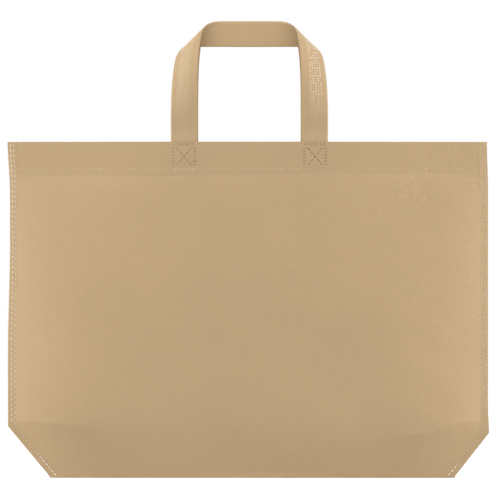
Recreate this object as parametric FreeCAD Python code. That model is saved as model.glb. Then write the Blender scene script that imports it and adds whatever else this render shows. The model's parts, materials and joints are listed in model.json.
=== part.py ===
"""Landscape carry bag of non-woven polypropylene cloth with two sewn strap handles.

The bag stands upright, laid nearly flat, with its mouth slightly parted.
Origin: middle of the bottom fold. +X to the bag's right seen from the front, front towards -Y, +Z up.
All lengths are in millimetres.
"""
import FreeCAD, Part
import math
import os
from FreeCAD import Rotation, Vector

# --- Bag outline -----------------------------------------------------------------------------
BAG_WIDTH = 500.0
BAG_HEIGHT = 350.0
LEFT_CORNER_ACROSS = 44.6      # diagonal cut at the lower left corner
LEFT_CORNER_UP = 53.9
RIGHT_CORNER_ACROSS = 35.6     # the right corner is cut a little smaller
RIGHT_CORNER_UP = 46.7

# --- Cloth and mouth -------------------------------------------------------------------------
CLOTH = 0.6                    # cloth thickness
MOUTH_BULGE = 20.0             # how far each half stands off the middle plane at the mouth's centre
INNER_GAP = 0.2                # half of the air gap between the two halves where they nearly meet
HEM_DEPTH = 35.0               # cloth turned inwards along the mouth
HEM_STITCH_DROP = 28.0         # stitch line below the mouth

# --- Seams -----------------------------------------------------------------------------------
SEAM_WIDTH = 8.5               # sewn edge strip at the sides and corners
SEAM_THICK = 1.6
FOLD_HEIGHT = 3.0              # strip where the sheet turns at the bottom
MOVING_GAP = 0.3               # air between the seams and the two moving halves
SIDE_ROW_INSETS = {"outer": 3.3, "inner": 6.5}
CORNER_ROW_INSET = 5.0

# --- Thread ----------------------------------------------------------------------------------
THREAD_WIDTH = 0.8
THREAD_PROUD = 0.3             # how far a stitch stands out of the cloth on each face
SIDE_PITCH = 5.3
CORNER_PITCH = 4.6
FINE_PITCH = 3.2
STITCH_FILL = 0.68             # stitch length over pitch
BOX_WIDTH = 22.5               # box-and-cross stitching on each strap end
BOX_HEIGHT = 26.0
BOX_DROP = 1.5                 # top row of the box below the mouth

# --- Strap handles ---------------------------------------------------------------------------
STRAP_WIDTH = 27.3
STRAP_THICK = 1.5
STRAP_END_LENGTH = 29.0        # length sewn inside the hem
HANDLE_CENTRE_X = 1.5
LEG_REACH = {"front": 81.7, "back": 80.7}   # handle centre to a leg's outer edge
LEG_LIFT = 0.6                 # free strap starts this far above the mouth
FOLD_START = 12.0              # height above the mouth where a leg's outer edge starts to bend
EASY_RADIUS = 60.0             # soft bend coming out of the leg
EASY_ANGLE = math.radians(50)
TIGHT_RADIUS = 10.0            # tighter bend that brings the strap behind the leg
HANDLE_LEAN = math.radians(13) # legs lean outwards from upright

ROOT2 = math.sqrt(2)
HALF_WIDTH = BAG_WIDTH / 2
PANEL_HALF = HALF_WIDTH - SEAM_WIDTH - MOVING_GAP
FRONT = -1
BACK = 1
SIDES = {"front": FRONT, "back": BACK}


# --- Flat outline in the X-Z plane -----------------------------------------------------------
def outline_points():
    """Outer outline of the flat bag, from the top left corner down and round to the top right."""
    return [(-HALF_WIDTH, BAG_HEIGHT),
            (-HALF_WIDTH, LEFT_CORNER_UP),
            (-HALF_WIDTH + LEFT_CORNER_ACROSS, 0.0),
            (HALF_WIDTH - RIGHT_CORNER_ACROSS, 0.0),
            (HALF_WIDTH, RIGHT_CORNER_UP),
            (HALF_WIDTH, BAG_HEIGHT)]


def shifted_edge(start, end, inset):
    """The edge from start to end, moved inwards (to its left) by inset."""
    run = (end[0] - start[0], end[1] - start[1])
    length = math.hypot(*run)
    left = (-run[1] / length * inset, run[0] / length * inset)
    return (start[0] + left[0], start[1] + left[1]), run


def crossing(first, second):
    """Point where two shifted edges cross."""
    (px, pz), (ux, uz) = first
    (qx, qz), (vx, vz) = second
    along = ((qx - px) * vz - (qz - pz) * vx) / (ux * vz - uz * vx)
    return px + along * ux, pz + along * uz


def inset_outline(side_inset, corner_inset, bottom_inset):
    """The outline with its sides, corners and bottom moved inwards; the top edge stays."""
    points = outline_points()
    insets = [side_inset, corner_inset, bottom_inset, corner_inset, side_inset]
    edges = [shifted_edge(points[i], points[i + 1], insets[i]) for i in range(5)]
    inner = [crossing(edges[i], edges[i + 1]) for i in range(4)]
    top_left = (-HALF_WIDTH + side_inset, BAG_HEIGHT)
    top_right = (HALF_WIDTH - side_inset, BAG_HEIGHT)
    return [top_left] + inner + [top_right]


def plate(points, y_low, y_high):
    """Flat plate with the given X-Z outline between two Y planes."""
    corners = [Vector(x, y_low, z) for x, z in points]
    wire = Part.makePolygon(corners + corners[:1])
    return Part.Face(wire).extrude(Vector(0, y_high - y_low, 0))


# --- Curved cloth layers ---------------------------------------------------------------------
def layer_section(side, low, high, bulge, z):
    """Closed band at height z: low and high are distances from the middle plane at the sides."""
    ends = [Vector(x, side * y, z) for y in (low, high) for x in (-PANEL_HALF, PANEL_HALF)]
    edges = []
    for start, end in ((ends[0], ends[1]), (ends[3], ends[2])):
        if bulge:
            middle = Vector(0, start.y + side * bulge, z)
            edges.append(Part.Arc(start, middle, end).toShape())
        else:
            edges.append(Part.makeLine(start, end))
    edges.insert(1, Part.makeLine(ends[1], ends[3]))
    edges.append(Part.makeLine(ends[2], ends[0]))
    return Part.Wire(edges)


def cloth_layer(side, inward, thickness):
    """Full-height curved layer: inward is how far its outer face lies inside the panel's inner face."""
    bottom_high = INNER_GAP - inward
    top_high = INNER_GAP + CLOTH - inward
    bottom = layer_section(side, bottom_high - thickness, bottom_high, 0, 0)
    top = layer_section(side, top_high - thickness, top_high, MOUTH_BULGE, BAG_HEIGHT)
    return Part.makeLoft([bottom, top], True, True)


def bulge_at(x):
    """Stand-off of the mouth's arc at x, over that at its sides."""
    radius = (PANEL_HALF ** 2 + MOUTH_BULGE ** 2) / (2 * MOUTH_BULGE)
    return math.sqrt(radius ** 2 - x ** 2) - (radius - MOUTH_BULGE)


def panel_inner_y(x, z):
    """Distance from the middle plane to the panel's inner face."""
    up = z / BAG_HEIGHT
    return INNER_GAP + up * (CLOTH + bulge_at(x))


def make_panel(side):
    inner = inset_outline(SEAM_WIDTH + MOVING_GAP, SEAM_WIDTH + MOVING_GAP, FOLD_HEIGHT + MOVING_GAP)
    reach = 2 * MOUTH_BULGE
    return cloth_layer(side, -CLOTH, CLOTH).common(plate(inner, -reach, reach))


def make_hem(side):
    reach = 2 * MOUTH_BULGE
    band = Part.makeBox(BAG_WIDTH, 2 * reach, HEM_DEPTH,
                        Vector(-HALF_WIDTH, -reach, BAG_HEIGHT - HEM_DEPTH))
    return cloth_layer(side, 0, CLOTH).common(band)


def leg_edges(face, hand):
    """Lowest and highest x of one leg; hand is -1 for the left leg and 1 for the right."""
    outer = HANDLE_CENTRE_X + hand * LEG_REACH[face]
    inner = outer - hand * STRAP_WIDTH
    return min(outer, inner), max(outer, inner)


def make_strap_end(face, hand):
    side = SIDES[face]
    low, high = leg_edges(face, hand)
    reach = 2 * MOUTH_BULGE
    block = Part.makeBox(high - low, 2 * reach, STRAP_END_LENGTH,
                         Vector(low, -reach, BAG_HEIGHT - STRAP_END_LENGTH))
    return cloth_layer(side, CLOTH, STRAP_THICK).common(block)


# --- Seams -----------------------------------------------------------------------------------
def make_seams():
    """Edge strips that hold the two halves together, mitred where they meet."""
    outer = outline_points()
    inner = inset_outline(SEAM_WIDTH, SEAM_WIDTH, FOLD_HEIGHT)
    names = ["left_side_seam", "left_corner_seam", "bottom_fold", "right_corner_seam", "right_side_seam"]
    strips = {}
    for i, name in enumerate(names):
        points = [outer[i], outer[i + 1], inner[i + 1], inner[i]]
        strips[name] = plate(points, -SEAM_THICK / 2, SEAM_THICK / 2)
    return strips


# --- Stitches --------------------------------------------------------------------------------
def stitch(centre, along, normal, pitch, depth):
    """One stitch: a short bar of thread that passes through the cloth and shows on both faces."""
    length = pitch * STITCH_FILL
    bar = Part.makeBox(length, THREAD_WIDTH, depth, Vector(-length / 2, -THREAD_WIDTH / 2, -depth / 2))
    turn = Rotation(along, normal.cross(along), normal, "XZY")
    bar.Placement = FreeCAD.Placement(centre, turn)
    return bar


def points_along(start, end, pitch):
    """Evenly spaced stitch centres on the line from start to end."""
    run = math.dist(start, end)
    count = max(2, round(run / pitch))
    steps = [(i + 0.5) / count for i in range(count)]
    return [(start[0] + (end[0] - start[0]) * s, start[1] + (end[1] - start[1]) * s) for s in steps]


def seam_row(start, end, pitch):
    """Row of stitches through a seam strip, in the bag's middle plane."""
    along = Vector(end[0] - start[0], 0, end[1] - start[1]).normalize()
    depth = SEAM_THICK + 2 * THREAD_PROUD
    spots = points_along(start, end, pitch)
    bars = [stitch(Vector(x, 0, z), along, Vector(0, 1, 0), pitch, depth) for x, z in spots]
    return Part.makeCompound(bars)


def make_side_rows():
    rows = {}
    for row, inset in SIDE_ROW_INSETS.items():
        lines = inset_outline(inset, CORNER_ROW_INSET, 0)
        rows["left_side_stitches_" + row] = seam_row(lines[0], lines[1], SIDE_PITCH)
        rows["right_side_stitches_" + row] = seam_row(lines[5], lines[4], SIDE_PITCH)
    return rows


def make_corner_rows():
    lines = inset_outline(SIDE_ROW_INSETS["inner"], CORNER_ROW_INSET, 0)
    return {"left_corner_stitches": seam_row(lines[1], lines[2], CORNER_PITCH),
            "right_corner_stitches": seam_row(lines[4], lines[3], CORNER_PITCH)}


def panel_row(side, start, end, layers):
    """Stitches on the curved panel; layers is the thickness sewn through, from the panel's outer face."""
    run = Vector(end[0] - start[0], 0, end[1] - start[1])
    bars = []
    for x, z in points_along(start, end, FINE_PITCH):
        slope_x = panel_inner_y(x + 1, z) - panel_inner_y(x, z)
        slope_z = panel_inner_y(x, z) - panel_inner_y(x, z - 1)
        normal = Vector(-slope_x, side, -slope_z).normalize()
        along = Vector(run.x, side * (slope_x * run.x + slope_z * run.z), run.z).normalize()
        middle = panel_inner_y(x, z) + CLOTH - layers / 2
        bars.append(stitch(Vector(x, side * middle, z), along, normal, FINE_PITCH,
                           layers + 2 * THREAD_PROUD))
    return bars


def make_hem_row(face):
    """Hem stitching, left out where the box stitching of the strap ends takes its place."""
    z = BAG_HEIGHT - HEM_STITCH_DROP
    stops = [-PANEL_HALF + FINE_PITCH]
    for hand in (-1, 1):
        low, high = leg_edges(face, hand)
        stops += [low - FINE_PITCH / 2, high + FINE_PITCH / 2]
    stops.append(PANEL_HALF - FINE_PITCH)
    bars = []
    for start, end in zip(stops[0::2], stops[1::2]):
        bars += panel_row(SIDES[face], (start, z), (end, z), 2 * CLOTH)
    return Part.makeCompound(bars)


def make_box_stitches(face, hand):
    """Box of stitches with a cross inside, holding one strap end."""
    low, high = leg_edges(face, hand)
    left = (low + high - BOX_WIDTH) / 2
    right = left + BOX_WIDTH
    top = BAG_HEIGHT - BOX_DROP
    bottom = top - BOX_HEIGHT
    inset = FINE_PITCH
    lines = [((left, top), (right, top)),
             ((left, bottom), (right, bottom)),
             ((left, bottom + inset), (left, top - inset)),
             ((right, bottom + inset), (right, top - inset)),
             ((left + inset, bottom + inset), (right - inset, top - inset)),
             ((left + inset, top - inset), (right - inset, bottom + inset))]
    layers = 2 * CLOTH + STRAP_THICK
    bars = []
    for start, end in lines:
        bars += panel_row(SIDES[face], start, end, layers)
    return Part.makeCompound(bars)


# --- Handles ---------------------------------------------------------------------------------
def fold_profile(run):
    """Advance, depth and turned angle after a run along the fold, square to its slanted axis."""
    angle = min(max(run / EASY_RADIUS, 0.0), EASY_ANGLE)
    advance = min(run, 0.0) + EASY_RADIUS * math.sin(angle)
    depth = EASY_RADIUS * (1 - math.cos(angle))
    rest = run - EASY_RADIUS * EASY_ANGLE
    if rest > 0:
        turned = min(EASY_ANGLE + rest / TIGHT_RADIUS, math.pi)
        advance += TIGHT_RADIUS * (math.sin(turned) - math.sin(angle))
        depth += TIGHT_RADIUS * (math.cos(angle) - math.cos(turned))
        angle = turned
    return advance, depth, angle


def fold_runs():
    """Runs at which the fold's straight lines are placed: every ten degrees of turn."""
    step = math.radians(10)
    easy = round(EASY_ANGLE / step)
    tight = round((math.pi - EASY_ANGLE) / step)
    runs = [EASY_RADIUS * EASY_ANGLE * i / easy for i in range(easy + 1)]
    return runs + [runs[-1] + TIGHT_RADIUS * step * i for i in range(1, tight + 1)]


def ruling_ends(run, outer_x):
    """Ends of the strap's slanted straight line at a run: on the outer edge and on the inner edge."""
    advance, depth, _ = fold_profile(run)
    ends = []
    for along in (run, run + ROOT2 * STRAP_WIDTH):
        x = outer_x + (along - advance) / ROOT2
        z = BAG_HEIGHT + FOLD_START + (along + advance) / ROOT2
        ends.append(Vector(x, depth, z))
    return ends


def ruling_section(run, outer_x):
    """Thin rectangle about one slanted line of the strap."""
    angle = fold_profile(run)[2]
    normal = Vector(math.sin(angle) / ROOT2, math.cos(angle), -math.sin(angle) / ROOT2)
    half = normal * (STRAP_THICK / 2)
    outer_end, inner_end = ruling_ends(run, outer_x)
    corners = [outer_end - half, inner_end - half, inner_end + half, outer_end + half]
    return Part.makePolygon(corners + corners[:1])


def make_handle(face):
    """One strap: two legs, a soft slanted fold at each top corner and the grip between them."""
    outer_x = HANDLE_CENTRE_X - LEG_REACH[face]
    inner_x = outer_x + STRAP_WIDTH
    foot = BAG_HEIGHT + LEG_LIFT
    bend = BAG_HEIGHT + FOLD_START
    half = STRAP_THICK / 2
    leg = plate([(outer_x, foot), (inner_x, foot), (inner_x, bend + STRAP_WIDTH), (outer_x, bend)],
                -half, half)
    runs = fold_runs()
    fold = Part.makeLoft([ruling_section(run, outer_x) for run in runs], True, True)
    low_end, high_end = ruling_ends(runs[-1], outer_x)
    corners = [(end.x, end.z) for end in (low_end, high_end)]
    mirrored = [(2 * HANDLE_CENTRE_X - x, z) for x, z in reversed(corners)]
    grip = plate(corners + mirrored, low_end.y - half, low_end.y + half)
    middle = Vector(HANDLE_CENTRE_X, 0, 0)
    others = [part.mirror(middle, Vector(1, 0, 0)) for part in (leg, fold)]
    strap = leg.fuse([fold, grip] + others).removeSplitter()
    sewn_y = panel_inner_y(HANDLE_CENTRE_X + LEG_REACH[face] - STRAP_WIDTH / 2, BAG_HEIGHT)
    strap.translate(Vector(0, -(sewn_y - CLOTH - half), 0))
    strap.rotate(handle_pivot(FRONT), Vector(1, 0, 0), math.degrees(HANDLE_LEAN))
    if SIDES[face] == BACK:
        strap = strap.mirror(Vector(0, 0, 0), Vector(0, 1, 0))
    return strap


def handle_pivot(side):
    """Point on the line over which a handle flops: the mouth edge's outer face at the legs."""
    inner_edge = LEG_REACH["front"] - STRAP_WIDTH
    outer_face = panel_inner_y(inner_edge, BAG_HEIGHT) + CLOTH
    return Vector(0, side * outer_face, BAG_HEIGHT)


# --- Assembly --------------------------------------------------------------------------------
def make_parts():
    parts = {}
    parts.update(make_seams())
    parts.update(make_side_rows())
    parts.update(make_corner_rows())
    for face, side in SIDES.items():
        parts[face + "_panel"] = make_panel(side)
        parts[face + "_hem"] = make_hem(side)
        parts[face + "_hem_stitches"] = make_hem_row(face)
        for hand, word in ((-1, "left"), (1, "right")):
            parts["%s_%s_strap_end" % (face, word)] = make_strap_end(face, hand)
            parts["%s_%s_box_stitches" % (face, word)] = make_box_stitches(face, hand)
        parts[face + "_handle"] = make_handle(face)
    return parts


os.makedirs("parts", exist_ok=True)
for node, shape in make_parts().items():
    shape.exportStep("parts/%s.step" % node)
    print("%-28s solids %3d  volume %9.1f mm3  valid %s"
          % (node, len(shape.Solids), shape.Volume, shape.isValid()))
print("handle pivots", handle_pivot(FRONT), handle_pivot(BACK))
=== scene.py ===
"""Looks of the non-woven carry bag: cloth, strap handles, thread, light and camera.

Everything is in metres, in the frame of the CAD model: X across, the front towards -Y, Z up.
"""
import json
import math

import bpy
import numpy as np
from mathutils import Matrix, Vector


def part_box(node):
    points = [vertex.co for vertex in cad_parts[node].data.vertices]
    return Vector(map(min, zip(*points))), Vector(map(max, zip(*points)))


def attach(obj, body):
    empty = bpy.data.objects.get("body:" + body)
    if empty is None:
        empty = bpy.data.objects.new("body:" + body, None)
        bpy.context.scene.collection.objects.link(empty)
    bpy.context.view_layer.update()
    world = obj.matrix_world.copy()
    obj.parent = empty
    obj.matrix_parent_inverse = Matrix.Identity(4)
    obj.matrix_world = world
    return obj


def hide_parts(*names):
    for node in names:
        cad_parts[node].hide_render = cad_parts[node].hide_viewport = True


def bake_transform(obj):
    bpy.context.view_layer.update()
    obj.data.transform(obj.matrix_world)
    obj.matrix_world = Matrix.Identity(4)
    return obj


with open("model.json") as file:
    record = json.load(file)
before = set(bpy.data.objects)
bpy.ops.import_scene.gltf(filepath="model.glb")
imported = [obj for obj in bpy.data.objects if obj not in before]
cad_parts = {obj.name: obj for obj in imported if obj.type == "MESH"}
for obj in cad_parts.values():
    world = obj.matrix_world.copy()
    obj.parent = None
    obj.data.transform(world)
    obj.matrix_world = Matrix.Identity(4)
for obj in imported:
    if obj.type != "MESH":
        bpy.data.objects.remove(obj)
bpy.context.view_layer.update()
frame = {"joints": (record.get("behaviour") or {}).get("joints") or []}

MM = 0.001

# --- Places read from the frame --------------------------------------------------------------
LEFT, RIGHT = -1, 1
FRONT, BACK = -1, 1
FACES = {"front": FRONT, "back": BACK}
HANDS = {"left": LEFT, "right": RIGHT}

EDGE_X = {LEFT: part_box("left_side_seam")[0].x, RIGHT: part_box("right_side_seam")[1].x}
CUT_Z = {LEFT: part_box("left_side_seam")[0].z, RIGHT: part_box("right_side_seam")[0].z}
FOLD_X = {LEFT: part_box("bottom_fold")[0].x, RIGHT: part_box("bottom_fold")[1].x}
MOUTH_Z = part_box("left_side_seam")[1].z
HEM_Z = MOUTH_Z - 35 * MM
HEM_STITCH_Z = sum(corner.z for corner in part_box("front_hem_stitches")) / 2
SEAM_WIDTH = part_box("left_side_seam")[1].x - EDGE_X[LEFT]
MOUTH_BULGE = -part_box("front_panel")[0].y - 1.4 * MM
STRAP_X = {(face, hand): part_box("%s_%s_strap_end" % (face, word))
           for face in FACES for word, hand in HANDS.items()}
STRAP_WIDTH = STRAP_X["front", LEFT][1].x - STRAP_X["front", LEFT][0].x
STRAP_FOOT_Z = STRAP_X["front", LEFT][0].z

# --- Cloth -----------------------------------------------------------------------------------
CLOTH = 0.5 * MM               # thickness of the non-woven sheet
NEAR = 0.4 * MM                # middle of the sheet from the bag's middle plane, where it is sewn
CREASE_Z = 59 * MM             # the base's crease above the bottom fold
BASE_SLOPE = 0.165             # how steeply the cloth leans out below the crease, and above it
BODY_SLOPE = 0.085
CREASE_OUT = 5.0 * MM          # how far the crease itself is pushed out by the base
CREASE_FADE = 90 * MM          # height above the crease over which that push dies away
BOXY_RUN = 85 * MM             # width beside the seams in which the lower part rounds out
ROLL_Z = 190 * MM              # above this height the body turns back towards the hem
ROLL_DEPTH = 12.6 * MM
PUFF_OUT = 2.0 * MM            # extra fullness beside the side seams
PUFF_RUN = 18 * MM
HEM_EASE = 6 * MM              # how fast the body swells out below the flatter hem, at the sides
STRIP_TILT = 0.20              # the sewn strips along the sides open a little inwards
HEM_SIDE_RUN = 160 * MM        # the hem runs straight from each side seam to the straps
CORNER_FLARE = {LEFT: 0.0, RIGHT: 1.1 * MM}
HEM_EDGE_Z = {LEFT: HEM_Z - 2.0 * MM, RIGHT: HEM_Z + 1.0 * MM}

# --- Thread ----------------------------------------------------------------------------------
SIDE_INSETS = {LEFT: 3.3 * MM, RIGHT: 2.6 * MM}     # outer row from the side edge, halfway up
ROW_GAP = {"outer": 0.0, "inner": 3.1 * MM}         # each row's distance inwards of the outer row
CORNER_INSETS = (4.6 * MM, 6.0 * MM)                # corner row's distance from the cut: top, bottom
SIDE_PITCH = 5.3 * MM
CORNER_PITCH = 4.6 * MM
FINE_PITCH = 3.2 * MM
BOX_WIDTH = 22.5 * MM
BOX_HEIGHT = 26.0 * MM
BOX_DROP = 1.5 * MM
CROSS_PITCH = 5.2 * MM
ROW_SIZE = {(LEFT, "outer"): 0.90, (LEFT, "inner"): 0.55,
            (RIGHT, "outer"): 0.60, (RIGHT, "inner"): 0.38}
TIGHT_SIZE = {LEFT: 0.38, RIGHT: 0.16}      # stitches in the tight upper part of the cut corners
FOOT_SIZE = {LEFT: 1.9, RIGHT: 1.1}         # stitches at the foot of each strap end
LOOSE_FROM = {LEFT: 0.58, RIGHT: 0.74}      # share of the corner row's height drawn tight
DENT_DEPTH = 0.7 * MM                       # dots that the box stitching pulls into the cloth
SEAM_THREAD = 0.36 * MM                     # radius of the side and corner thread
HEM_THREAD = 0.24 * MM
BOX_THREAD = 0.30 * MM
BOX_STITCH = 3.7 * MM                       # length of one stitch of a box
UNDER_LAYER = 1.65 * CLOTH                  # from the outer face's middle to the inner hem layer

# --- Strap -----------------------------------------------------------------------------------
STRAP_THICK = 1.3 * MM
FOLD_START = 12 * MM           # height above the mouth where a leg's outer edge starts to bend
EASY_RADIUS = 60 * MM
EASY_ANGLE = math.radians(50)
TIGHT_RADIUS = 10 * MM
HANDLE_LEAN = math.radians(13)
LAP = 2.6 * MM                 # folded-over edge on the strap's inner face
STRAP_GAP = UNDER_LAYER + 0.45 * MM    # from the front sheet's middle to the strap sewn behind it
STRAP_CREASE = 35 * MM         # height of the faint press line across each leg
STRAP_FREED = 30 * MM          # height above the mouth where a leg has left its sewn shape
DOT_PITCH = 2.75 * MM
ROOT2 = math.sqrt(2)
STRAP_REACH = (STRAP_X["front", RIGHT][1].x - STRAP_X["front", LEFT][0].x) / 2
FOLD_RUN = EASY_RADIUS * EASY_ANGLE + TIGHT_RADIUS * (math.pi - EASY_ANGLE)
FOLD_ADVANCE = (EASY_RADIUS - TIGHT_RADIUS) * math.sin(EASY_ANGLE)
STRAP_FREE = 2 * (FOLD_START + STRAP_REACH + (FOLD_ADVANCE + FOLD_RUN) / ROOT2)   # front strap

# --- Colours ---------------------------------------------------------------------------------
CLOTH_COLOUR = (0.445, 0.309, 0.166)
STRAP_COLOUR = (0.470, 0.327, 0.178)
# the dots' own lighter tone, raised further as painted highlight
DOT_TONE_AND_HIGHLIGHT = (0.84, 0.72, 0.56, 1)
# painted light: lightens the grip against the shade on its downward-facing face
GRIP_PAINTED_LIGHT = (1.15, 1.14, 1.12, 1)
WHITE_THREAD = (0.93, 0.88, 0.79)
# painted shade: the box thread's tan is darkened to stand for the shade in the needle dents
SHADED_BOX_THREAD = (0.27, 0.18, 0.10)
PALE_THREAD = (0.70, 0.58, 0.42)
CLOTH_BONDS = 2.5 * MM         # spacing of the bond points
STRAP_BONDS = 2.2 * MM
UV_SCALE = 10                  # flat-pattern units per metre

# --- Camera and floor ------------------------------------------------------------------------
CAMERA_DISTANCE = 9.0
VIEW_WIDTH = 0.5209            # width seen at the bag's middle plane
VIEW_RIGHT = 2.1 * MM          # middle of the view from the bag's middle line
VIEW_ABOVE = 62.4 * MM         # middle of the view above half the mouth's height
FLOOR_REACH = 6.0
FLOOR_DROP = 0.2 * MM
FLOOR_GLOW = 0.08

# --- Small maths -----------------------------------------------------------------------------
def smooth(low, high, value):
    share = np.clip((value - low) / (high - low), 0, 1)
    return share * share * (3 - 2 * share)


def hump(value, centre, width):
    return np.exp(-((value - centre) / width) ** 2)


def ripple(x, z, seed, wavelength, waves=7):
    """Seeded sum of sine waves in random directions, between about -1 and 1."""
    chance = np.random.RandomState(seed)
    total = np.zeros(np.broadcast(x, z).shape)
    for _ in range(waves):
        angle, phase = chance.uniform(0, 2 * math.pi, 2)
        length = wavelength * chance.uniform(0.7, 1.6)
        total += np.sin(2 * math.pi * (x * math.cos(angle) + z * math.sin(angle)) / length + phase)
    return total / math.sqrt(waves)


def steps(low, high, spacing):
    """Evenly spaced values from low to high, both included."""
    return np.linspace(low, high, max(2, round((high - low) / spacing) + 1))


def merged(*runs):
    """Sorted values of several runs, without near-equal neighbours."""
    values = np.unique(np.concatenate(runs))
    kept = [values[0]]
    for value in values[1:]:
        if value - kept[-1] > 0.1 * MM:
            kept.append(value)
    return np.array(kept)


# --- Shape of the bag's cloth ----------------------------------------------------------------
def soft_min(first, second, blend):
    """The smaller of two values, rounded off where they meet."""
    return 0.5 * (first + second - np.sqrt((first - second) ** 2 + blend ** 2))


def edge_x(hand, z):
    """The bag's outline at height z: sides that wander a little, and cut corners."""
    corner = EDGE_X[hand] + hand * CORNER_FLARE[hand]
    if hand == LEFT:
        outward = -2.1 * MM * smooth(130 * MM, 245 * MM, z)
        outward = outward + 2.7 * MM * smooth(295 * MM, 358 * MM, z)
    else:
        straight = smooth(46 * MM, 75 * MM, z) + smooth(300 * MM, 350 * MM, z)
        outward = CORNER_FLARE[RIGHT] * (1 - straight)
    cut = FOLD_X[hand] + (corner - FOLD_X[hand]) * z / CUT_Z[hand]
    return np.where(z < CUT_Z[hand], cut, EDGE_X[hand] + hand * outward)


def rim_distances(hand, x, z):
    """Distances inwards from one side edge and from the cut corner below it."""
    side = hand * (edge_x(hand, np.maximum(z, CUT_Z[hand])) - x)
    across = abs(EDGE_X[hand] - FOLD_X[hand]) + CORNER_FLARE[hand]
    tall = CUT_Z[hand]
    corner = (hand * (FOLD_X[hand] - x) * tall + z * across) / math.hypot(across, tall)
    return side, corner


def room_inside(hand, x, z):
    """Distance inwards from one side's sewn strip, and below the base's crease from the cut
    corner's strip, scaled to meet at the crease so that the crease is a straight fold."""
    crease = crease_height(x)
    side, corner = (np.maximum(d - SEAM_WIDTH, 0) for d in rim_distances(hand, x, z))
    side_there, corner_there = (d - SEAM_WIDTH for d in rim_distances(hand, x, crease))
    share = np.maximum(side_there, 0) / np.maximum(corner_there, 0.5 * MM)
    return np.where(z < crease, np.minimum(corner * share, side), side)


def side_inset(hand, row, z):
    """Distance of a stitching row from the side edge, which grows a little towards the bottom."""
    drift = 1.3 * MM if hand == LEFT else 0.2 * MM
    return SIDE_INSETS[hand] + ROW_GAP[row] + drift * (0.5 - smooth(60 * MM, 330 * MM, z))


def corner_inset(hand, z):
    top, bottom = CORNER_INSETS
    return bottom + (top - bottom) * z / CUT_Z[hand]


def seam_dents(hand, x, z):
    """Shallow grooves that the side and corner stitching presses into the cloth."""
    side, corner = rim_distances(hand, x, z)
    above = smooth(-4 * MM, 4 * MM, corner - side)
    rows = sum(hump(side, side_inset(hand, row, z), 0.75 * MM) for row in ROW_GAP)
    groove = hump(corner, corner_inset(hand, z), 0.9 * MM) * (1 - above)
    return 0.14 * MM * rows * above + 0.26 * MM * groove


def crease_height(x):
    """Height of the base's crease, which drops away from the side seams, more on the right."""
    rightness = smooth(-100 * MM, 100 * MM, x)
    left_drop = 4 * MM * smooth(-240 * MM, -165 * MM, x)
    right_drop = 14 * MM * smooth(228 * MM, 176 * MM, x)
    return CREASE_Z - left_drop * (1 - rightness) - right_drop * rightness


def hem_profile(room):
    """Share of the mouth's bulge along the hem: straight from the seam to the strap, then level."""
    share = room / HEM_SIDE_RUN
    return 0.94 * np.maximum(soft_min(share, 1.0, 0.22), 0) + 0.06 * (1 - (1 - room / 0.2415) ** 2)


def below_crease(x, z):
    """Height z capped at the crease: a sharp fold near the corners, softer towards the middle."""
    softness = 1.5 * MM + 36 * MM * smooth(175 * MM, 105 * MM, abs(x))
    return soft_min(z, crease_height(x), softness)


def body_profile(x, z):
    """How far the cloth stands out at height z on the bag's middle line."""
    under = below_crease(x, z) - below_crease(x, 0.0)
    roll = np.maximum(z - ROLL_Z, 0) / (HEM_Z - ROLL_Z)
    return BODY_SLOPE * z + (BASE_SLOPE - BODY_SLOPE) * under - ROLL_DEPTH * roll ** 2


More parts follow.
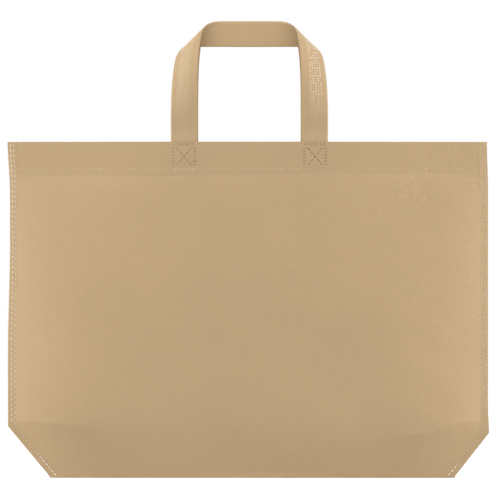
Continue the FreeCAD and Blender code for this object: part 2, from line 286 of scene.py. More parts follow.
def stand_off(face, x, z):
    """Distance of the cloth's middle surface from the bag's middle plane."""
    rim = np.minimum.reduce([d for hand in (LEFT, RIGHT) for d in rim_distances(hand, x, z)])
    room = np.minimum(room_inside(LEFT, x, z), room_inside(RIGHT, x, z))
    half = EDGE_X[RIGHT] - SEAM_WIDTH
    lens = 1 - (1 - np.minimum(room / half, 1)) ** 2
    boxy = 1 - (1 - np.minimum(room / BOXY_RUN, 1)) ** 2
    low = smooth(150 * MM, 20 * MM, z)
    rightness = smooth(-220 * MM, 220 * MM, x)
    hem_edge = HEM_EDGE_Z[LEFT] + (HEM_EDGE_Z[RIGHT] - HEM_EDGE_Z[LEFT]) * rightness
    hem_low = MOUTH_BULGE * 0.95 * hem_profile(room)
    hem = hem_low * (1 + 0.05 * (z - HEM_Z) / (MOUTH_Z - HEM_Z))
    puff = PUFF_OUT * (1 - np.exp(-room / PUFF_RUN)) * (1 - smooth(60 * MM, 160 * MM, room))
    step = body_profile(x, hem_edge) * lens + puff - hem_low
    below = np.maximum(hem_edge - z, 0)
    out = body_profile(x, z) * (lens * (1 - low) + boxy * low) + puff * smooth(20 * MM, 80 * MM, z)
    above = np.maximum(z - crease_height(x), 0)
    out += CREASE_OUT * boxy * below_crease(x, z) / crease_height(x) * np.exp(-above / CREASE_FADE)
    ease = HEM_EASE + 5 * MM * smooth(220 * MM, 150 * MM, abs(x))
    out = np.where(z < hem_edge, out - step * np.exp(-below / ease), hem)
    ridge = hump(z, hem_edge, 1.2 * MM) * smooth(0, 8 * MM, room)
    out += 0.25 * MM * ridge * smooth(100 * MM, 190 * MM, abs(x))
    in_hem = smooth(hem_edge - 1.2 * MM, hem_edge + 0.6 * MM, z)

    seed = 10 if face == "front" else 50
    loose = smooth(0, 45 * MM, room)
    out += loose * 0.45 * MM * ripple(x, z, seed, 150 * MM)
    out += loose * 0.10 * MM * ripple(x, z, seed + 1, 38 * MM) * (1 - 0.6 * in_hem)
    crumpled = hump(x, 28 * MM, 40 * MM) * hump(z, 148 * MM, 75 * MM)
    out += 0.08 * MM * crumpled * ripple(x, z, seed + 2, 14 * MM)
    beside = hump(room, 6 * MM, 12 * MM) * hump(z, 304 * MM, 9 * MM)
    out += 0.14 * MM * beside * ripple(x, z, seed + 3, 7 * MM)
    out += 0.16 * MM * hump(x, 23 * MM, 3.5 * MM) * smooth(70 * MM, 110 * MM, z) * (1 - in_hem)
    across = smooth(-50 * MM, 0, x) * smooth(160 * MM, 110 * MM, x)
    out += 0.10 * MM * hump(z, 100 * MM, 4 * MM) * across

    groove = hump(z, HEM_STITCH_Z, 0.9 * MM) * smooth(0, 2 * MM, room)
    out -= 0.05 * MM * groove
    strip = STRIP_TILT * np.clip(rim, 0, SEAM_WIDTH) * (0.15 + 0.85 * smooth(0, 110 * MM, z))
    return NEAR + strip + np.maximum(out, 0)


def needle_dents(face, x, z):
    """Depth of the dents that the box stitching pulls into the cloth: each is a short trench,
    across the line on the box's sides and along it on the two diagonals."""
    depth = np.zeros(np.broadcast(x, z).shape)
    chance = np.random.RandomState(7)
    for hand in (LEFT, RIGHT):
        for start, end, pitch, crossways in box_lines(face, hand):
            run = np.subtract(end, start)
            length = math.hypot(*run)
            ux, uz = run / length
            reach = (0.55 * MM, 1.7 * MM) if crossways else (1.9 * MM, 0.65 * MM)
            for hx, hz in centres_along(start, end, pitch):
                deep = DENT_DEPTH * chance.uniform(0.55, 1.1)
                near = (abs(x - hx) < 5 * MM) & (abs(z - hz) < 5 * MM)
                if not near.any():
                    continue
                dx, dz = x[near] - hx, z[near] - hz
                along, across = dx * ux + dz * uz, dz * ux - dx * uz
                dent = np.exp(-(along / reach[0]) ** 2 - (across / reach[1]) ** 2)
                depth[near] = np.maximum(depth[near], deep * dent)
    return depth


def box_lines(face, hand):
    """A strap end's box-and-cross stitching: for each line its start and end in X-Z, the spacing of
    its stitches, and whether the cloth puckers across the line."""
    low, high = STRAP_X[face, hand]
    left = (low.x + high.x - BOX_WIDTH) / 2
    right = left + BOX_WIDTH
    top = MOUTH_Z - BOX_DROP - 1.0 * MM
    bottom = top - BOX_HEIGHT
    step = FINE_PITCH
    return [((left, top), (right, top), step, True),
            ((left, bottom), (right, bottom), step, True),
            ((left, bottom + step), (left, top - step), step, True),
            ((right, bottom + step), (right, top - step), step, True),
            ((left + step, bottom + step), (right - step, top - step), CROSS_PITCH, False),
            ((left + step, top - step), (right - step, bottom + step), CROSS_PITCH, False)]


def centres_along(start, end, pitch):
    """Middles of the stitches that fill a line, in equal steps close to the pitch."""
    run = math.dist(start, end)
    count = max(2, round(run / pitch))
    return [(start[0] + (end[0] - start[0]) * (i + 0.5) / count,
             start[1] + (end[1] - start[1]) * (i + 0.5) / count) for i in range(count)]


# --- Mesh building ---------------------------------------------------------------------------
def make_object(name, points, faces, uvs=None, smooth_faces=None, normals=None):
    """Mesh object from vertex rows and quads; uvs are per vertex, normals per face corner."""
    mesh = bpy.data.meshes.new(name)
    mesh.from_pydata(points.tolist(), [], faces.tolist())
    mesh.update()
    mesh.polygons.foreach_set("use_smooth", np.ones(len(faces), bool) if smooth_faces is None
                              else smooth_faces)
    if uvs is not None:
        layer = mesh.uv_layers.new(name="flat")
        layer.data.foreach_set("uv", uvs[faces.ravel()].astype(np.float32).ravel())
    if normals is not None:
        mesh.normals_split_custom_set(normals.tolist())
    piece = bpy.data.objects.new(name, mesh)
    bpy.context.scene.collection.objects.link(piece)
    return piece


def grid_quads(rows, columns, first=0):
    """Quads of a rows by columns grid of vertices."""
    at = first + np.arange(rows * columns).reshape(rows, columns)
    return np.stack([at[:-1, :-1], at[:-1, 1:], at[1:, 1:], at[1:, :-1]], -1).reshape(-1, 4)


def surface_normals(points):
    """Unit normals of a grid of points, columns cross rows."""
    along_rows = np.gradient(points, axis=0)
    along_columns = np.gradient(points, axis=1)
    normal = np.cross(along_columns, along_rows)
    return normal / np.maximum(np.linalg.norm(normal, axis=-1, keepdims=True), 1e-12)


def sheet_object(name, middle, outward, thick, uv_grid):
    """Closed sheet of the given thickness about a grid of middle points and outward normals."""
    rows, columns = middle.shape[:2]
    count = rows * columns
    outer = middle + outward * thick / 2
    inner = middle - outward * thick / 2
    points = np.concatenate([outer.reshape(-1, 3), inner.reshape(-1, 3)])
    front = grid_quads(rows, columns)
    back = grid_quads(rows, columns, count)[:, ::-1]
    loop = np.concatenate([np.arange(columns), columns * np.arange(1, rows) + columns - 1,
                           count - 2 - np.arange(columns - 1),
                           columns * np.arange(rows - 2, 0, -1)])
    after = np.roll(loop, -1)
    rim = np.stack([after, loop, loop + count, after + count], -1)
    first = points[front[0]]
    facing = np.cross(first[1] - first[0], first[2] - first[0]) @ outward.reshape(-1, 3)[front[0, 0]]
    faces = np.concatenate([front, back, rim])
    if facing < 0:
        faces = faces[:, ::-1]
    directions = np.concatenate([outward.reshape(-1, 3), -outward.reshape(-1, 3)])
    normals = directions[faces]
    normals[len(front) + len(back):] = 0
    flat = np.concatenate([uv_grid.reshape(-1, 2)] * 2)
    is_smooth = np.arange(len(faces)) < len(front) + len(back)
    return make_object(name, points, faces, flat, is_smooth, normals.reshape(-1, 3))


# --- The bag's cloth -------------------------------------------------------------------------
def column_places(face, hand):
    """Distances from the side edge at which one half's columns lie, close at the stitching."""
    low, high = STRAP_X[face, hand]
    box_low, box_high = sorted(abs(EDGE_X[hand] - x) for x in (low.x, high.x))
    half = abs(EDGE_X[hand])
    return merged(steps(0, 12 * MM, 0.75 * MM), steps(12 * MM, box_low, 3.4 * MM),
                  steps(box_low, box_high, 0.36 * MM), steps(box_high, half, 3.4 * MM))


def row_places():
    """Heights of the rows, close together at the hem, the crease and the bottom fold."""
    return merged(steps(NEAR + CLOTH + 0.4 * MM, CREASE_Z - 16 * MM, 3 * MM),
                  steps(CREASE_Z - 16 * MM, CREASE_Z + 3 * MM, 1.0 * MM),
                  steps(CREASE_Z + 3 * MM, HEM_Z - 14 * MM, 3.4 * MM),
                  steps(HEM_Z - 14 * MM, HEM_Z + 2 * MM, 0.8 * MM),
                  steps(HEM_Z + 2 * MM, MOUTH_Z - CLOTH, 0.36 * MM))


def cloth_half(face, word):
    """One half of the front or back: bottom fold, panel, top fold and hem facing in one sheet."""
    side, hand = FACES[face], HANDS[word]
    heights = row_places()
    places = column_places(face, hand)
    keep = 30 * MM
    z, place = np.meshgrid(heights, places, indexing="ij")
    edge = np.abs(edge_x(hand, z))
    inner = keep + (place - keep) * (edge - keep) / (abs(EDGE_X[hand]) - keep)
    x = hand * (edge - np.where(place < keep, place, inner))
    x[:, -1] = 0
    off = stand_off(face, x, z) - needle_dents(face, x, z) - seam_dents(hand, x, z)
    panel = np.stack([x, side * off, z], -1)

    turns = np.radians([0, 30, 60])[:, None, None]
    foot = panel[0]
    radius = np.abs(foot[:, 1])[None, :, None]
    drop = heights[0] - CLOTH / 2 - 0.05 * MM
    fold = np.concatenate([np.broadcast_to(foot[None, :, :1], (3, len(foot), 1)),
                           side * radius * np.sin(turns),
                           foot[None, :, 2:] - drop * np.cos(turns)], -1)

    head = panel[-1]
    turn = 0.5 * CLOTH * 1.15
    over = np.radians([30, 60, 90, 120, 150, 180])[:, None]
    crest = np.stack([np.broadcast_to(head[:, 0], (6, len(head))),
                      head[:, 1] - side * turn * (1 - np.cos(over)),
                      head[:, 2] + turn * np.sin(over)], -1)
    facing = panel[heights >= HEM_Z][::-1][1::3].copy()
    facing[..., 1] -= side * 2 * turn
    middle = np.concatenate([fold, panel, crest, facing])

    outward = surface_normals(middle)
    if (outward[5, 5, 1] > 0) != (side > 0):
        outward = -outward
    path = np.linalg.norm(np.diff(middle, axis=0), axis=-1)
    path = np.concatenate([np.zeros((1, middle.shape[1])), np.cumsum(path, axis=0)])
    uv = np.stack([middle[..., 0], path], -1) * UV_SCALE
    return sheet_object("%s_cloth_%s" % (face, word), middle, outward, CLOTH, uv)


# --- Straps ----------------------------------------------------------------------------------
def fold_profile(run):
    """Advance, depth and turned angle after a run along the strap's slanted fold."""
    angle = np.clip(run / EASY_RADIUS, 0, EASY_ANGLE)
    advance = np.minimum(run, 0) + EASY_RADIUS * np.sin(angle)
    depth = EASY_RADIUS * (1 - np.cos(angle))
    rest = np.maximum(run - EASY_RADIUS * EASY_ANGLE, 0)
    turned = np.clip(EASY_ANGLE + rest / TIGHT_RADIUS, 0, math.pi)
    turned = np.where(rest > 0, turned, angle)
    advance = advance + TIGHT_RADIUS * (np.sin(turned) - np.sin(angle)) * (rest > 0)
    depth = depth + TIGHT_RADIUS * (np.cos(angle) - np.cos(turned)) * (rest > 0)
    past = np.maximum(rest - TIGHT_RADIUS * (math.pi - EASY_ANGLE), 0)
    return advance - past, depth, turned


def strap_middle(face, across, along, sewn_off):
    """Middle surface of a strap: across from its outer edge, along from the mouth, one half."""
    outer_x = STRAP_X[face, LEFT][0].x
    reach = along - FOLD_START
    run = (reach - across) / ROOT2
    slant = (reach + across) / ROOT2
    advance, depth, turned = fold_profile(run)
    x = outer_x + (slant - advance) / ROOT2
    z = FOLD_START + (slant + advance) / ROOT2
    normal = np.stack([np.sin(turned) / ROOT2, np.cos(turned), -np.sin(turned) / ROOT2], -1)
    lean_y = math.sin(HANDLE_LEAN)
    lean_z = math.cos(HANDLE_LEAN)
    pivot = -joint_named(face + "_handle_flop")["pos_m"][1] * FACES[face]
    gap = abs(pivot) - sewn_off
    y_free = gap + depth
    y = y_free * lean_z - z * lean_y - abs(pivot)
    up = y_free * lean_y + z * lean_z + MOUTH_Z
    turned_normal = np.stack([normal[..., 0],
                              normal[..., 1] * lean_z - normal[..., 2] * lean_y,
                              normal[..., 1] * lean_y + normal[..., 2] * lean_z], -1)
    return np.stack([x, y, up], -1), turned_normal


def joint_named(name):
    return next(joint for joint in frame["joints"] if joint["name"] == name)


def strap(face):
    """One strap with both sewn ends, its legs, the soft slanted folds and the grip; also its
    flat length."""
    side = FACES[face]
    centre = (STRAP_X[face, LEFT][0].x + STRAP_X[face, RIGHT][1].x) / 2
    reach = centre - STRAP_X[face, LEFT][0].x
    half_length = FOLD_START + reach + (FOLD_ADVANCE + FOLD_RUN) / ROOT2
    sewn = MOUTH_Z - STRAP_FOOT_Z
    along = merged(steps(-sewn, 29 * MM, 1.25 * MM), steps(29 * MM, 39 * MM, 0.5 * MM),
                   steps(39 * MM, half_length, 1.25 * MM))
    across = merged(steps(0, STRAP_WIDTH - 5 * MM, 0.85 * MM),
                    steps(STRAP_WIDTH - 5 * MM, STRAP_WIDTH, 0.4 * MM))
    b, a = np.meshgrid(along, across, indexing="ij")
    free, normal = strap_middle(face, a, b, MOUTH_BULGE * 0.97 - STRAP_GAP - STRAP_THICK / 2)
    press = hump(b, STRAP_CREASE + 0.2 * a, 0.55 * MM) * smooth(13 * MM, 8 * MM, a)
    seed = 31 if face == "front" else 32
    drape = smooth(STRAP_FREED, 80 * MM, b) * 0.25 * MM * ripple(a, b, seed, 60 * MM)
    free = free + normal * (drape + 0.22 * MM * press)[..., None]

    flip = np.array([-1, 1, 1])
    free = np.concatenate([free, (free[:-1] * flip + np.array([2 * centre, 0, 0]))[::-1]])
    normal = np.concatenate([normal, (normal[:-1] * flip)[::-1]])
    from_end = np.concatenate([b, b[:-1][::-1]])
    a = np.concatenate([a, a[:-1][::-1]])
    b = np.concatenate([b, 2 * half_length - b[:-1][::-1]])
    sewn_x = np.where(b < half_length, STRAP_X[face, LEFT][0].x + a, STRAP_X[face, RIGHT][1].x - a)
    sewn_z = MOUTH_Z + from_end
    level = stand_off(face, sewn_x, np.minimum(sewn_z, MOUTH_Z - 1 * MM))
    held = np.stack([sewn_x, STRAP_GAP + STRAP_THICK / 2 - level, sewn_z], -1)
    share = smooth(-1.0 * MM, STRAP_FREED, from_end)[..., None]
    middle = held * (1 - share) + free * share
    normal = np.array([0, 1, 0]) * (1 - share) + normal * share
    normal /= np.linalg.norm(normal, axis=-1, keepdims=True)

    share = np.abs(2 * a / STRAP_WIDTH - 1)
    half_thick = STRAP_THICK / 2 * np.sqrt(np.maximum(1 - share ** 14, 0.02))
    pillow = 1 - 0.22 * hump(a, STRAP_WIDTH / 2, 7 * MM)
    lap = 1 - 0.25 * smooth(STRAP_WIDTH - LAP + 0.2 * MM, STRAP_WIDTH - LAP - 0.8 * MM, a)
    outer = middle - normal * (half_thick * pillow)[..., None]
    ridge = 0.16 * MM * hump(a, STRAP_WIDTH - LAP - 0.4 * MM, 0.5 * MM)
    inner = middle + normal * (half_thick * pillow * lap + ridge)[..., None]
    rows, columns = a.shape
    ring = np.concatenate([outer, inner[:, ::-1]], axis=1)
    if side == BACK:
        ring = ring * np.array([1, -1, 1])
    width = 2 * columns
    points = ring.reshape(-1, 3)
    at = np.arange(rows * width).reshape(rows, width)
    nxt = np.roll(at, -1, axis=1)
    faces = np.stack([at[:-1], nxt[:-1], nxt[1:], at[1:]], -1).reshape(-1, 4)
    caps = []
    for row, turned in ((0, True), (rows - 1, False)):
        line = at[row]
        cap = np.stack([line[:columns - 1], line[1:columns], line[::-1][1:columns],
                        line[::-1][:columns - 1]], -1)
        caps.append(cap[:, ::-1] if turned else cap)
    faces = np.concatenate([faces] + caps)
    if side == BACK:
        faces = faces[:, ::-1]
    flat_a = np.concatenate([a, a[:, ::-1]], axis=1)
    flat_b = np.concatenate([b, b[:, ::-1]], axis=1)
    uv = np.stack([flat_a, flat_b], -1).reshape(-1, 2) * UV_SCALE
    piece = make_object(face + "_strap", points, faces, uv)
    length = 2 * (half_length + sewn)
    return piece, length


# --- Thread ----------------------------------------------------------------------------------
def thread_object(name, stitches, length, radius):
    """Many stitches as one mesh. Each is (centre, along, normal, size): a short rounded bar of
    thread that lies on the cloth and dives into it at both ends."""
    rings, sides = 9, 8
    t = np.linspace(-1, 1, rings)
    turn = np.linspace(0, 2 * math.pi, sides, endpoint=False)
    points, faces, uvs = [], [], []
    at = np.arange(rings * sides).reshape(rings, sides)
    nxt = np.roll(at, -1, axis=1)
    tube = np.stack([at[:-1], nxt[:-1], nxt[1:], at[1:]], -1).reshape(-1, 4)
    ends = np.array([[0, 3, 2, 1], [0, 5, 4, 3], [0, 7, 6, 5]])
    closed = np.concatenate([tube, ends, (rings - 1) * sides + ends[:, ::-1]])
    chance = np.random.RandomState(len(stitches))
    for number, (centre, along, normal, size) in enumerate(stitches):
        centre, along, normal = (np.asarray(v, float) for v in (centre, along, normal))
        along = along / np.linalg.norm(along)
        normal = normal - along * (normal @ along)
        normal = normal / np.linalg.norm(normal)
        across = np.cross(along, normal)
        along = along + across * chance.uniform(-0.06, 0.06)
        half = length / 2 * (0.72 + 0.28 * size) * chance.uniform(0.9, 1.05)
        thick = radius * size * chance.uniform(0.85, 1.1)
        lift = thick * (0.45 - 1.5 * t ** 6)
        girth = thick * np.sqrt(1 - 0.55 * t ** 8)
        line = centre + np.outer(t * half, along) + np.outer(lift, normal)
        circle = np.outer(np.cos(turn), across) + 0.8 * np.outer(np.sin(turn), normal)
        body = line[:, None, :] + girth[:, None, None] * circle[None]
        points.append(body.reshape(-1, 3))
        faces.append(closed + number * rings * sides)
        u = np.broadcast_to(turn[None] / (2 * math.pi), (rings, sides))
        v = np.broadcast_to(t[:, None] * half * 1000 + number * 7.3, (rings, sides))
        uvs.append(np.stack([u, v], -1).reshape(-1, 2))
    return make_object(name, np.concatenate(points), np.concatenate(faces), np.concatenate(uvs))


def cloth_stitch(face, x, z, run, size=1.0, depth=0.0):
    """A stitch on the cloth's outer face at x, z along run; depth puts it on a layer further in."""
    side = FACES[face]
    step = 0.5 * MM

    def off(px, pz):
        return float(stand_off(face, np.array([px]), np.array([min(pz, MOUTH_Z - 0.7 * MM)]))[0])

    here = off(x, z)
    slope_x = (off(x + step, z) - off(x - step, z)) / (2 * step)
    slope_z = (off(x, z + step) - off(x, z - step)) / (2 * step)
    normal = np.array([-slope_x, side, -slope_z])
    along = np.array([run[0], side * (slope_x * run[0] + slope_z * run[1]), run[1]])
    if depth:
        return np.array([x, side * (here - depth), z]), along, -normal, size
    return np.array([x, side * (here + CLOTH / 2), z]), along, normal, size


def trench_stitch(face, x, z, run, crossways, size, sink=0.5):
    """A stitch of a strap end's box, lying part way down the dent that it pulls into the cloth."""
    lay = (-run[1], run[0]) if crossways else run
    centre, along, normal, size = cloth_stitch(face, x, z, lay, size)
    return centre - np.array([0, FACES[face] * DENT_DEPTH * sink, 0]), along, normal, size


def side_threads():
    """Two rows up each side seam; the outer row on the left shows most, the right side least."""
    made = []
    for word, hand in HANDS.items():
        for row in ROW_GAP:
            stitches = []
            low = CUT_Z[hand] + (4 * MM if row == "outer" else 1 * MM)
            for _, z in centres_along((0, MOUTH_Z - 1 * MM), (0, low), SIDE_PITCH):
                x = float(edge_x(hand, np.array([z]))[0]) - hand * float(side_inset(hand, row, z))
                size = ROW_SIZE[hand, row] * (0.85 + 0.25 * float(smooth(230 * MM, 340 * MM, z)))
                for face in FACES:
                    stitches.append(cloth_stitch(face, x, z, (0, 1), size))
            name = "%s_side_thread_%s" % (word, row)
            piece = thread_object(name, stitches, SIDE_PITCH * 0.62, SEAM_THREAD)
            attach(piece, "seams")
            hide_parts("%s_side_stitches_%s" % (word, row))
            made.append(piece)
    return made


def corner_threads():
    """One row along each cut corner: drawn tight at the top and looser near the bottom."""
    made = []
    for word, hand in HANDS.items():
        top = np.array([EDGE_X[hand] + hand * CORNER_FLARE[hand], CUT_Z[hand]])
        foot = np.array([FOLD_X[hand], 0.0])
        run = (foot - top) / np.linalg.norm(foot - top)
        inward = np.array([-hand * abs(run[1]), abs(run[0])])
        start = top + inward * CORNER_INSETS[0] + run * 3 * MM
        end = foot + inward * CORNER_INSETS[1]
        end = end - run * (end[1] - 2.0 * MM) / run[1]
        for face in FACES:
            stitches = []
            for x, z in centres_along(start, end, CORNER_PITCH):
                down = 1 - z / CUT_Z[hand]
                loose = float(smooth(LOOSE_FROM[hand] - 0.14, LOOSE_FROM[hand] + 0.06, down))
                size = TIGHT_SIZE[hand] + (1.15 - TIGHT_SIZE[hand]) * loose
                stitches.append(cloth_stitch(face, x, z, run, size))
            name = "%s_corner_thread_%s" % (word, face)
            piece = thread_object(name, stitches, CORNER_PITCH * 0.66, SEAM_THREAD)
            blend_half(piece)
            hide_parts(word + "_corner_stitches")
            made.append(piece)
    return made


def hem_threads():
    """Fine stitches of uneven size along each hem, outside and inside, with the bold foot row of
    the strap end's box."""
    made = []
    for face in FACES:
        for word, hand in HANDS.items():
            low, high = STRAP_X[face, hand]
            stops = sorted([abs(low.x) - 1 * MM, abs(high.x) + 1 * MM])
            runs = [(1.5 * MM, stops[0]), (stops[1], abs(EDGE_X[hand]) - 9 * MM)]
            stitches = []
            chance = np.random.RandomState(90 + hand)
            for start, end in runs:
                for x, z in centres_along((hand * start, HEM_STITCH_Z), (hand * end, HEM_STITCH_Z),
                                          FINE_PITCH):
                    size = 0.24 + 0.70 * chance.uniform() ** 6
                    stitches.append(cloth_stitch(face, x, z, (1, 0), size))
                    stitches.append(cloth_stitch(face, x, z, (1, 0), 1.0, UNDER_LAYER))
            start, end, pitch, crossways = box_lines(face, hand)[1]
            for x, z in centres_along(start, end, pitch):
                stitches.append(trench_stitch(face, x, z, (1, 0), crossways, FOOT_SIZE[hand], 0.15))
            name = "%s_hem_thread_%s" % (face, word)
            piece = thread_object(name, stitches, FINE_PITCH * 0.82, HEM_THREAD)
            blend_half(piece)
            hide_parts(face + "_hem_stitches")
            made.append(piece)
    return made


def box_threads():
    """Box-and-cross stitches, outside and on the strap; the outside of the foot row is in the
    hem's thread."""
    made = []
    for face in FACES:
        for word, hand in HANDS.items():
            stitches = []
            foot_line = box_lines(face, hand)[1][:2]
            for start, end, pitch, crossways in box_lines(face, hand):
                run = np.subtract(end, start)
                for x, z in centres_along(start, end, pitch):
                    if (start, end) != foot_line:
                        stitches.append(trench_stitch(face, x, z, run, crossways, 1.0))
                    stitches.append(cloth_stitch(face, x, z, run, 1.0, STRAP_GAP + STRAP_THICK))
            name = "%s_%s_box_thread" % (face, word)
            piece = thread_object(name, stitches, BOX_STITCH, BOX_THREAD)
            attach(piece, face + "_side")
            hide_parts("%s_%s_box_stitches" % (face, word))
            made.append(piece)
    return made


def blend_half(piece):
    """The piece's placement is baked into its mesh."""
    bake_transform(piece)


# --- Materials -------------------------------------------------------------------------------
class Nodes:
    """Short way to add nodes and links to one material."""

    def __init__(self, name):
        self.material = bpy.data.materials.new(name)
        self.material.use_nodes = True
        self.tree = self.material.node_tree
        self.shader = self.tree.nodes["Principled BSDF"]

    def add(self, kind, **values):
        node = self.tree.nodes.new(kind)
        for key, value in values.items():
            if hasattr(node, key):
                setattr(node, key, value)
            else:
                node.inputs[key.replace("_", " ")].default_value = value
        return node

    def link(self, source, target):
        self.tree.links.new(source, target)

    def maths(self, operation, first, second):
        node = self.add("ShaderNodeMath", operation=operation)
        for socket, value in zip(node.inputs, (first, second)):
            if isinstance(value, (int, float)):
                socket.default_value = value
            elif value is not None:
                self.link(value, socket)
        return node.outputs[0]

    def ramp(self, source, stops):
        node = self.add("ShaderNodeValToRGB")
        elements = node.color_ramp.elements
        while len(elements) < len(stops):
            elements.new(0.5)
        for element, (place, colour) in zip(elements, stops):
            element.position = place
            element.color = (*colour, 1)
        self.link(source, node.inputs[0])
        return node.outputs[0]

    def noise(self, vector, scale, detail=3.0, rough=0.55):
        node = self.add("ShaderNodeTexNoise", Scale=scale, Detail=detail, Roughness=rough)
        self.link(vector, node.inputs["Vector"])
        return node.outputs["Fac"]

    def turned(self, vector, angle=0.0, scale=(1, 1, 1)):
        node = self.add("ShaderNodeMapping")
        node.inputs["Rotation"].default_value = (0, 0, angle)
        node.inputs["Scale"].default_value = scale
        self.link(vector, node.inputs["Vector"])
        return node.outputs[0]


def tinted(colour, factor):
    return tuple(min(1.0, c * factor) for c in colour)


def lattice(made, flat, pitch):
    """Staggered lattice of bond points: a value that peaks at each point."""
    turned = made.turned(flat, 0.0, (2 * math.pi / (UV_SCALE * pitch),) * 3)
    parts = made.add("ShaderNodeSeparateXYZ")
    made.link(turned, parts.inputs[0])
    waves = [made.maths("SINE", parts.outputs[i], None) for i in (0, 1)]
    return made.maths("MULTIPLY", waves[0], waves[1])


def cloth_material(name, colour, pitch, dots=None):
    """Spunbond cloth: a staggered lattice of bond points, pressed fibres, blotches and sheen."""
    made = Nodes(name)
    flat = made.add("ShaderNodeUVMap", uv_map="flat").outputs[0]
    bonds = lattice(made, flat, pitch)
    fibres = made.noise(made.turned(flat, 0.6, (100, 420, 100)), 1.0, 4.0)
    crossed = made.noise(made.turned(flat, -0.7, (110, 390, 100)), 1.0, 4.0)
    fibre = made.maths("MULTIPLY", fibres, crossed)
    blotch = made.noise(flat, 1.1, 3.0)
    mottle = made.noise(flat, 14.0, 2.0)

    tone = made.maths("MULTIPLY", made.maths("SUBTRACT", blotch, 0.5), 0.16)
    tone = made.maths("ADD", tone, made.maths("MULTIPLY", made.maths("SUBTRACT", mottle, 0.5), 0.10))
    tone = made.maths("ADD", tone, made.maths("MULTIPLY", made.maths("SUBTRACT", fibre, 0.25), 0.55))
    tone = made.maths("ADD", tone, made.maths("MULTIPLY", bonds, 0.10))
    tone = made.maths("ADD", tone, 0.5)
    shade = made.ramp(tone, [(0.30, tinted(colour, 0.86)), (0.5, colour),
                             (0.70, tinted(colour, 1.13))])

    rough = made.maths("ADD", made.maths("MULTIPLY", fibre, 0.35), 0.50)
    height = made.maths("ADD", made.maths("MULTIPLY", bonds, 0.35),
                        made.maths("MULTIPLY", fibre, 0.9))
    if dots:
        shade, rough, height = dots(made, flat, shade, rough, height)
    made.link(shade, made.shader.inputs["Base Color"])
    made.link(rough, made.shader.inputs["Roughness"])
    bump = made.add("ShaderNodeBump", Strength=0.5, Distance=0.14 * MM)
    made.link(height, bump.inputs["Height"])
    made.link(bump.outputs[0], made.shader.inputs["Normal"])
    made.shader.inputs["Sheen Weight"].default_value = 0.12
    made.shader.inputs["Sheen Roughness"].default_value = 0.45
    made.shader.inputs["Specular IOR Level"].default_value = 0.35
    return made.material


def faded(made, source, full, none):
    """One where the source is at full, zero where it is at none, and smooth between them."""
    fade = made.add("ShaderNodeMapRange", interpolation_type="SMOOTHSTEP")
    low, high = min(full, none), max(full, none)
    ends = (1.0, 0.0) if full < none else (0.0, 1.0)
    for socket, value in zip(("From Min", "From Max", "To Min", "To Max"), (low, high) + ends):
        fade.inputs[socket].default_value = value
    made.link(source, fade.inputs["Value"])
    return fade.outputs[0]


def strap_dots(made, flat, shade, rough, height):
    """Even grid of pressed dots along the middle of the strap, shiny; their lighter colour and the
    brighter patches on the legs are painted highlight. The grip is painted lighter against the shade
    on its downward-facing face."""
    points = made.maths("ABSOLUTE", lattice(made, flat, 2 * DOT_PITCH), None)
    parts = made.add("ShaderNodeSeparateXYZ")
    made.link(flat, parts.inputs[0])
    across, along = parts.outputs[0], parts.outputs[1]
    middle = STRAP_WIDTH * UV_SCALE * 0.45
    away = made.maths("ABSOLUTE", made.maths("SUBTRACT", across, middle), None)
    other_end = made.maths("SUBTRACT", STRAP_FREE * UV_SCALE, along)
    from_mouth = made.maths("MINIMUM", along, other_end)
    spot = made.maths("MULTIPLY", faded(made, points, 0.88, 0.62), faded(made, away, 0.055, 0.065))
    # painted highlight: a band of brighter dots on the legs, from just above the mouth to the folds
    highlight_band = made.maths("MULTIPLY", faded(made, from_mouth, 0.75, 0.05),
                      faded(made, from_mouth, 1.05, 1.35))
    luck = made.noise(made.turned(flat, 0.0, (36, 36, 36)), 1.0, 0.0)
    lit = made.maths("MULTIPLY", faded(made, luck, 0.62, 0.36), highlight_band)
    shine = made.maths("MULTIPLY", spot, made.maths("ADD", lit, 0.10))
    mix = made.add("ShaderNodeMixRGB", blend_type="MIX")
    made.link(shine, mix.inputs["Fac"])
    # painted light: the grip's colour is lifted against the shade of its downward-facing face
    grip_lifted = made.add("ShaderNodeMixRGB", blend_type="MULTIPLY")
    made.link(faded(made, from_mouth, 1.50, 1.20), grip_lifted.inputs["Fac"])
    made.link(shade, grip_lifted.inputs["Color1"])
    grip_lifted.inputs["Color2"].default_value = GRIP_PAINTED_LIGHT
    made.link(grip_lifted.outputs["Color"], mix.inputs["Color1"])
    mix.inputs["Color2"].default_value = DOT_TONE_AND_HIGHLIGHT
    rough = made.maths("SUBTRACT", rough, made.maths("MULTIPLY", shine, 0.25))
    height = made.maths("ADD", height, made.maths("MULTIPLY", spot, 0.8))
    return mix.outputs["Color"], rough, height


def thread_material(name, colour):
    """Twisted sewing thread: slanting plies with a little fuzz."""
    made = Nodes(name)
    flat = made.add("ShaderNodeUVMap", uv_map="flat").outputs[0]
    parts = made.add("ShaderNodeSeparateXYZ")
    made.link(flat, parts.inputs[0])
    twist = made.maths("ADD", made.maths("MULTIPLY", parts.outputs[0], 2 * math.pi),
                       made.maths("MULTIPLY", parts.outputs[1], 7.0))
    plies = made.maths("SINE", twist, None)
    fuzz = made.noise(made.turned(flat, 0.0, (30, 9, 1)), 1.0, 3.0)
    tone = made.maths("ADD", made.maths("MULTIPLY", plies, 0.12), fuzz)
    shade = made.ramp(tone, [(0.30, tinted(colour, 0.78)), (0.65, colour)])
    made.link(shade, made.shader.inputs["Base Color"])
    rough = made.maths("ADD", made.maths("MULTIPLY", fuzz, 0.3), 0.45)
    made.link(rough, made.shader.inputs["Roughness"])
    bump = made.add("ShaderNodeBump", Strength=0.6, Distance=0.08 * MM)
    made.link(plies, bump.inputs["Height"])
    made.link(bump.outputs[0], made.shader.inputs["Normal"])
    made.shader.inputs["Sheen Weight"].default_value = 0.2
    return made.material


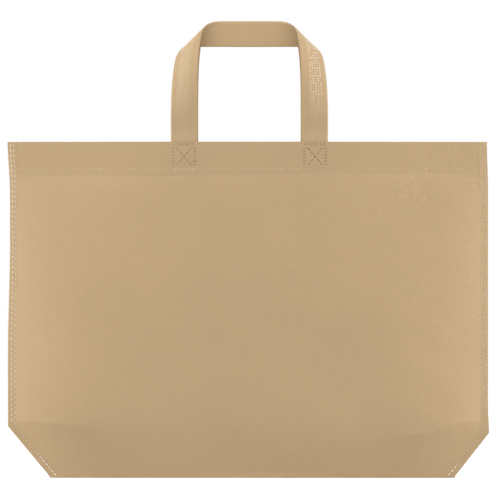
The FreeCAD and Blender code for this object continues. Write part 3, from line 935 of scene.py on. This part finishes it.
# --- Studio ----------------------------------------------------------------------------------
def pale_material(name, value):
    """Nearly even, matt material of one grey value."""
    made = Nodes(name)
    place = made.add("ShaderNodeTexCoord").outputs["Object"]
    tone = made.noise(place, 3.0, 2.0)
    low, high = (value * 0.99,) * 3, (value,) * 3
    made.link(made.ramp(tone, [(0.3, low), (0.7, high)]), made.shader.inputs["Base Color"])
    made.shader.inputs["Roughness"].default_value = 0.9
    made.shader.inputs["Specular IOR Level"].default_value = 0.1
    return made.material


def make_floor():
    """White floor just under the bag, with a faint glow so that it fades into the room."""
    corners = np.array([[x, y, -FLOOR_DROP] for x, y in ((-1, -1), (1, -1), (1, 1), (-1, 1))])
    corners[:, :2] *= FLOOR_REACH
    floor = make_object("floor", corners, np.array([[0, 1, 2, 3]]))
    floor.data.materials.append(pale_material("pale_floor", 0.95))
    shader = floor.active_material.node_tree.nodes["Principled BSDF"]
    shader.inputs["Emission Strength"].default_value = FLOOR_GLOW
    floor.visible_diffuse = False


def add_light(name, place, aim, size, power, spread=math.pi):
    data = bpy.data.lights.new(name, "AREA")
    data.spread = spread
    data.shape = "RECTANGLE"
    data.size, data.size_y = size
    data.energy = power
    lamp = bpy.data.objects.new(name, data)
    lamp.location = place
    lamp.rotation_euler = (Vector(aim) - Vector(place)).to_track_quat("-Z", "Y").to_euler()
    bpy.context.scene.collection.objects.link(lamp)


def make_world():
    """White all round and above, dimmer from below."""
    world = bpy.data.worlds.new("white_room")
    world.use_nodes = True
    tree = world.node_tree
    place = tree.nodes.new("ShaderNodeTexCoord")
    parts = tree.nodes.new("ShaderNodeSeparateXYZ")
    tree.links.new(place.outputs["Generated"], parts.inputs[0])
    ramp = tree.nodes.new("ShaderNodeMapRange")
    for socket, value in (("From Min", -0.35), ("From Max", -0.08),
                          ("To Min", 0.78), ("To Max", 1.0)):
        ramp.inputs[socket].default_value = value
    tree.links.new(parts.outputs[2], ramp.inputs["Value"])
    tree.links.new(ramp.outputs[0], tree.nodes["Background"].inputs["Strength"])
    tree.nodes["Background"].inputs["Color"].default_value = (1.0, 1.0, 1.0, 1)
    bpy.context.scene.world = world


def make_studio():
    """Key light from the front left, two narrow low side lights and a wide one overhead."""
    make_world()
    bpy.context.scene.view_settings.view_transform = "Standard"
    middle = (0, 0, 0.20)
    low = (0, 0, 0.12)
    beam = math.radians(36)
    add_light("key", (-0.3, -1.6, 1.45), middle, (1.1, 0.9), 6.8)
    add_light("left_side", (-1.55, -0.12, 0.50), low, (0.3, 0.3), 0.77, beam)
    add_light("right_side", (1.55, -0.12, 0.50), low, (0.3, 0.3), 0.79, beam)
    add_light("overhead", (0, 0.5, 2.2), (0, 0.1, 0), (2.4, 1.6), 9)


def make_camera():
    """Long lens straight in front; the view is as wide as the bag plus a small margin."""
    data = bpy.data.cameras.new("camera")
    data.lens = data.sensor_width * CAMERA_DISTANCE / VIEW_WIDTH
    camera = bpy.data.objects.new("camera", data)
    camera.location = (VIEW_RIGHT, -CAMERA_DISTANCE, MOUTH_Z / 2 + VIEW_ABOVE)
    camera.rotation_euler = (math.pi / 2, 0, 0)
    bpy.context.scene.collection.objects.link(camera)
    bpy.context.scene.camera = camera


# --- Put together ----------------------------------------------------------------------------
def dress(pieces, material):
    for piece in pieces:
        piece.data.materials.clear()
        piece.data.materials.append(material)


def make_bag():
    """The four cloth halves, each the flat size of half the width and the height with its hem."""
    sheets = []
    for face in FACES:
        for word, hand in HANDS.items():
            piece = cloth_half(face, word)
            blend_half(piece)
            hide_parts(face + "_panel", face + "_hem", word + "_side_seam",
                        word + "_corner_seam", "bottom_fold")
            sheets.append(piece)
    dress(sheets, cloth_material("bag_cloth", CLOTH_COLOUR, CLOTH_BONDS))


def make_straps():
    straps = []
    for face in FACES:
        piece, length = strap(face)
        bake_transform(piece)
        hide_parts(face + "_handle", face + "_left_strap_end", face + "_right_strap_end")
        straps.append(piece)
    material = cloth_material("strap_cloth", STRAP_COLOUR, STRAP_BONDS, strap_dots)
    dress(straps, material)


make_bag()
make_straps()
side_rows = side_threads()
pale = thread_material("pale_thread", PALE_THREAD)
white = thread_material("white_thread", WHITE_THREAD)
dress(side_rows[:2] + corner_threads(), white)
dress(side_rows[2:], pale)
dress(hem_threads(), pale)
# the box thread's dark colour is painted shade of the dents it lies in
dress(box_threads(), thread_material("tan_thread", SHADED_BOX_THREAD))
make_floor()
make_studio()
make_camera()
